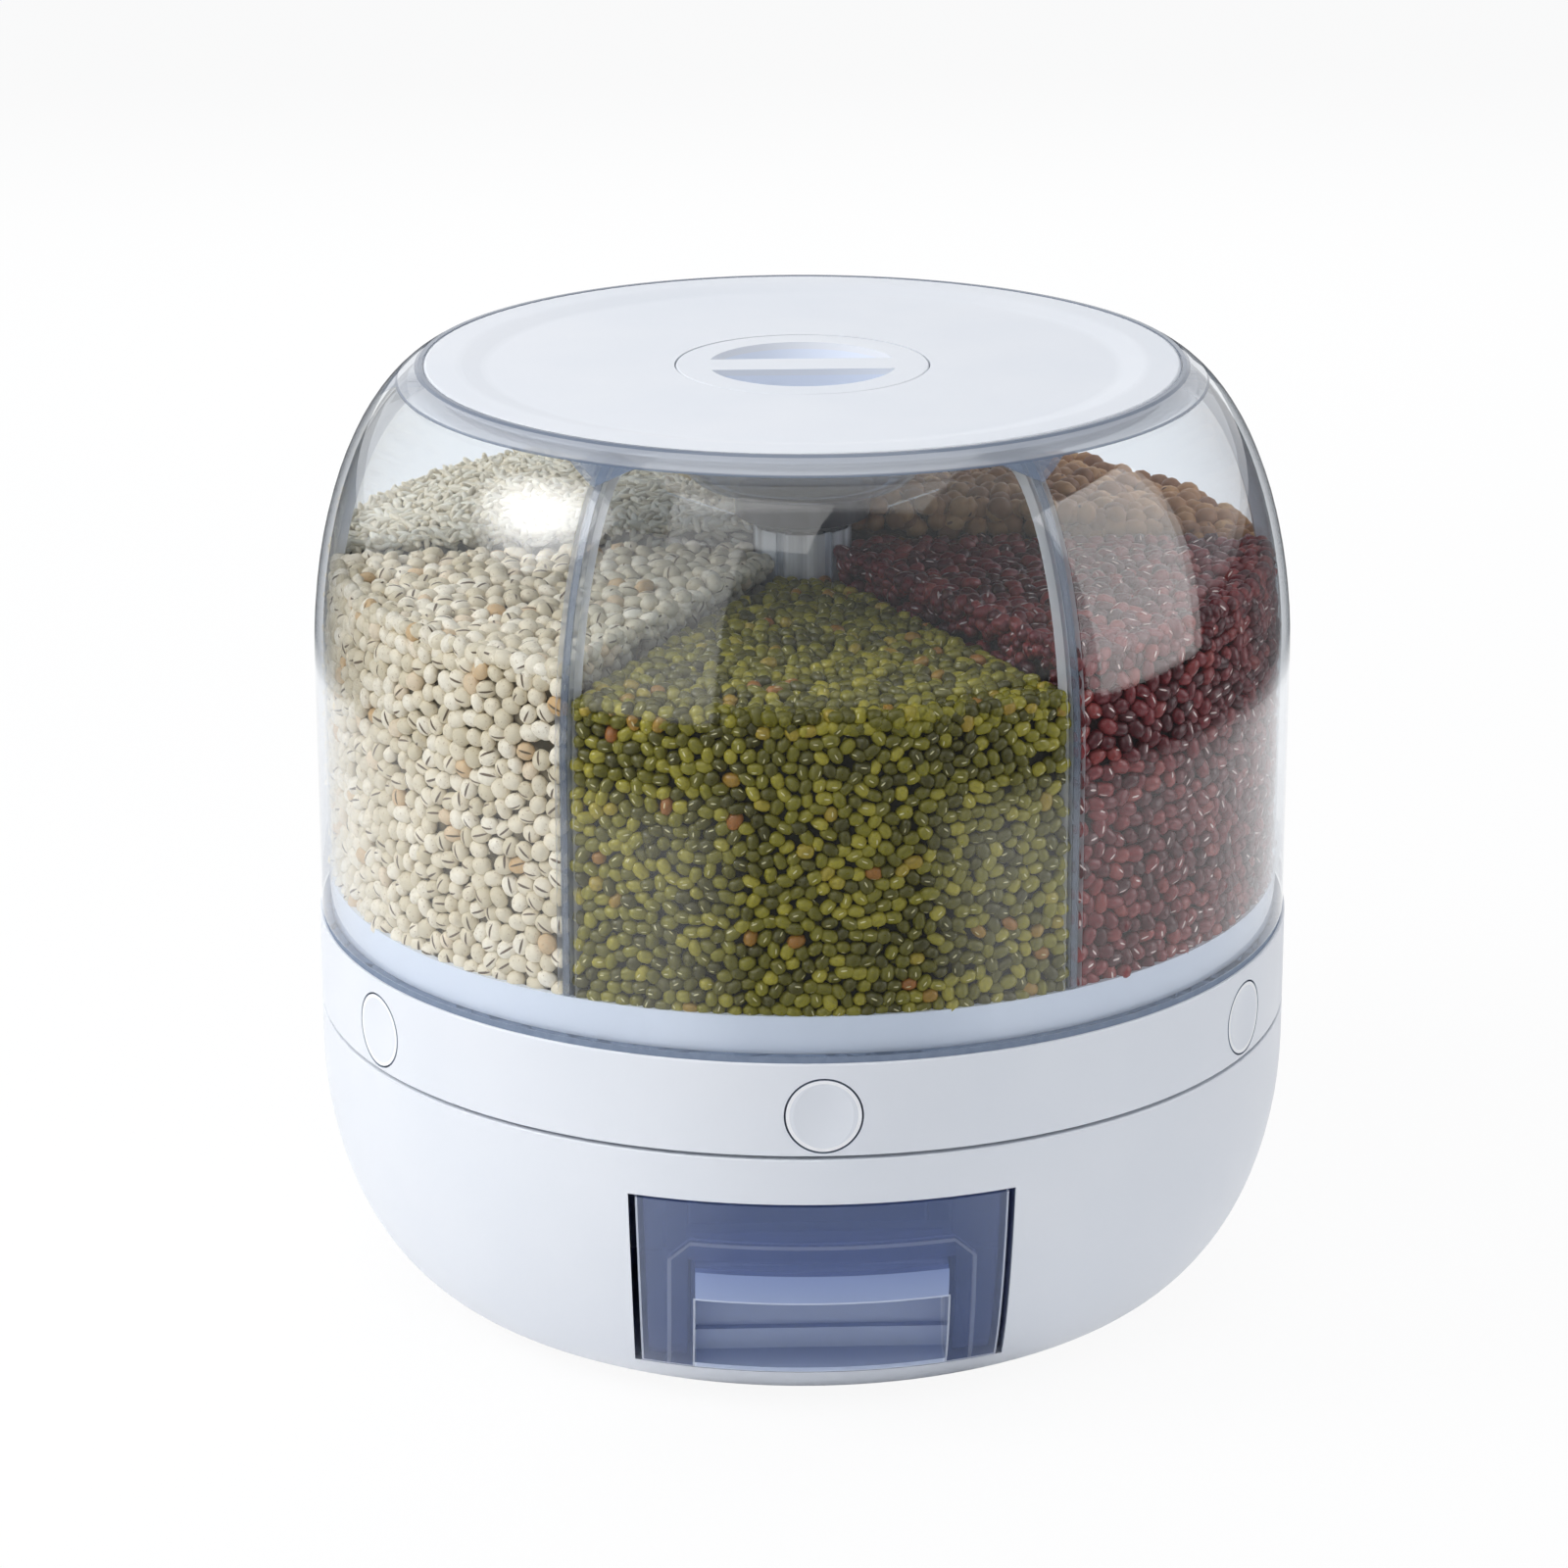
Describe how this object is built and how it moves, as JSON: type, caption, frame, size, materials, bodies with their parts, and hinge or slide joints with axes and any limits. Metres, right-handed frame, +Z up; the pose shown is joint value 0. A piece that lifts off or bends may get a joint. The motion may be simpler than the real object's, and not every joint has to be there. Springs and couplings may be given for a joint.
{
  "type": "rotating grain dispenser",
  "caption": "Countertop grain dispenser: clear turning drum of compartments with push-button gates, white base with a pull-out cup, lift-off lid with a turning grip.",
  "frame": {"origin": "middle of the footprint, on the table under the feet", "axes": "+Z up along the drum's axis, the cup and its window face -Y, +X to the right seen from the front"},
  "size_m": [0.3, 0.3, 0.2903],
  "materials": {
    "white_plastic": "satin moulded white",
    "inner_plastic": "plain moulded",
    "clear_plastic": "clear polished",
    "smoky_blue_plastic": "tinted polished",
    "grey_silicone": "soft matte",
    "black_rubber": "matte",
    "steel": "plain"
  },
  "bodies": {
    "base": {"base_shell": "white_plastic", "base_deck": "inner_plastic", "base_plate": "inner_plastic", "rubber_feet": "black_rubber", "cup_bay": "inner_plastic", "base_screws": "steel", "bay_screws": "steel", "spindle": "steel", "axle_washer": "steel", "axle_screw": "steel"},
    "bearing": {"ball_cage": "inner_plastic", "bearing_balls": "steel"},
    "drum": {"turntable": "inner_plastic", "hub_bush": "inner_plastic", "button_ring": "white_plastic", "hopper_floor": "inner_plastic", "hopper_screws": "steel", "shell_gasket": "grey_silicone", "clear_shell": "clear_plastic", "centre_column": "clear_plastic", "divider_1": "clear_plastic", "divider_2": "clear_plastic", "divider_3": "clear_plastic", "divider_4": "clear_plastic", "divider_5": "clear_plastic", "divider_6": "clear_plastic", "gate_spring_1": "steel", "gate_spring_2": "steel", "gate_spring_3": "steel", "gate_spring_4": "steel", "gate_spring_5": "steel", "gate_spring_6": "steel"},
    "cup": {"grain_cup": "smoky_blue_plastic"},
    "lid": {"lid_panel": "white_plastic", "lid_seal": "grey_silicone", "desiccant_bowl": "clear_plastic"},
    "knob": {"lid_knob": "white_plastic", "knob_clip": "steel"},
    "press_1": {"button_1": "white_plastic", "gate_1": "inner_plastic"},
    "press_2": {"button_2": "white_plastic", "gate_2": "inner_plastic"},
    "press_3": {"button_3": "white_plastic", "gate_3": "inner_plastic"},
    "press_4": {"button_4": "white_plastic", "gate_4": "inner_plastic"},
    "press_5": {"button_5": "white_plastic", "gate_5": "inner_plastic"},
    "press_6": {"button_6": "white_plastic", "gate_6": "inner_plastic"}
  },
  "joints": [
    {"name": "drum_spin", "type": "hinge", "parent": "base", "child": "drum", "pos_m": [0, 0, 0], "axis": [0, 0, 1], "continuous": true},
    {"name": "cage_spin", "type": "hinge", "parent": "base", "child": "bearing", "pos_m": [0, 0, 0], "axis": [0, 0, 1], "continuous": true},
    {"name": "cup_slide", "type": "slide", "parent": "base", "child": "cup", "axis": [0, -1, 0], "range_m": [0, 0.13]},
    {"name": "lid_lift", "type": "slide", "parent": "drum", "child": "lid", "axis": [0, 0, 1], "range_m": [0, 0.12]},
    {"name": "knob_turn", "type": "hinge", "parent": "lid", "child": "knob", "pos_m": [0, 0, 0.28], "axis": [0, 0, 1], "range_deg": [0, 45]},
    {"name": "press_1_slide", "type": "slide", "parent": "drum", "child": "press_1", "axis": [0, 1, 0], "range_m": [0, 0.011], "stiffness_N_per_m": 150, "deforming": ["gate_spring_1"]},
    {"name": "press_2_slide", "type": "slide", "parent": "drum", "child": "press_2", "axis": [-0.866, 0.5, 0], "range_m": [0, 0.011], "stiffness_N_per_m": 150, "deforming": ["gate_spring_2"]},
    {"name": "press_3_slide", "type": "slide", "parent": "drum", "child": "press_3", "axis": [-0.866, -0.5, 0], "range_m": [0, 0.011], "stiffness_N_per_m": 150, "deforming": ["gate_spring_3"]},
    {"name": "press_4_slide", "type": "slide", "parent": "drum", "child": "press_4", "axis": [0, -1, 0], "range_m": [0, 0.011], "stiffness_N_per_m": 150, "deforming": ["gate_spring_4"]},
    {"name": "press_5_slide", "type": "slide", "parent": "drum", "child": "press_5", "axis": [0.866, -0.5, 0], "range_m": [0, 0.011], "stiffness_N_per_m": 150, "deforming": ["gate_spring_5"]},
    {"name": "press_6_slide", "type": "slide", "parent": "drum", "child": "press_6", "axis": [0.866, 0.5, 0], "range_m": [0, 0.011], "stiffness_N_per_m": 150, "deforming": ["gate_spring_6"]}
  ],
  "couplings": [
    {"joint": "cage_spin", "follows": "drum_spin", "ratio": 0.5}
  ]
}
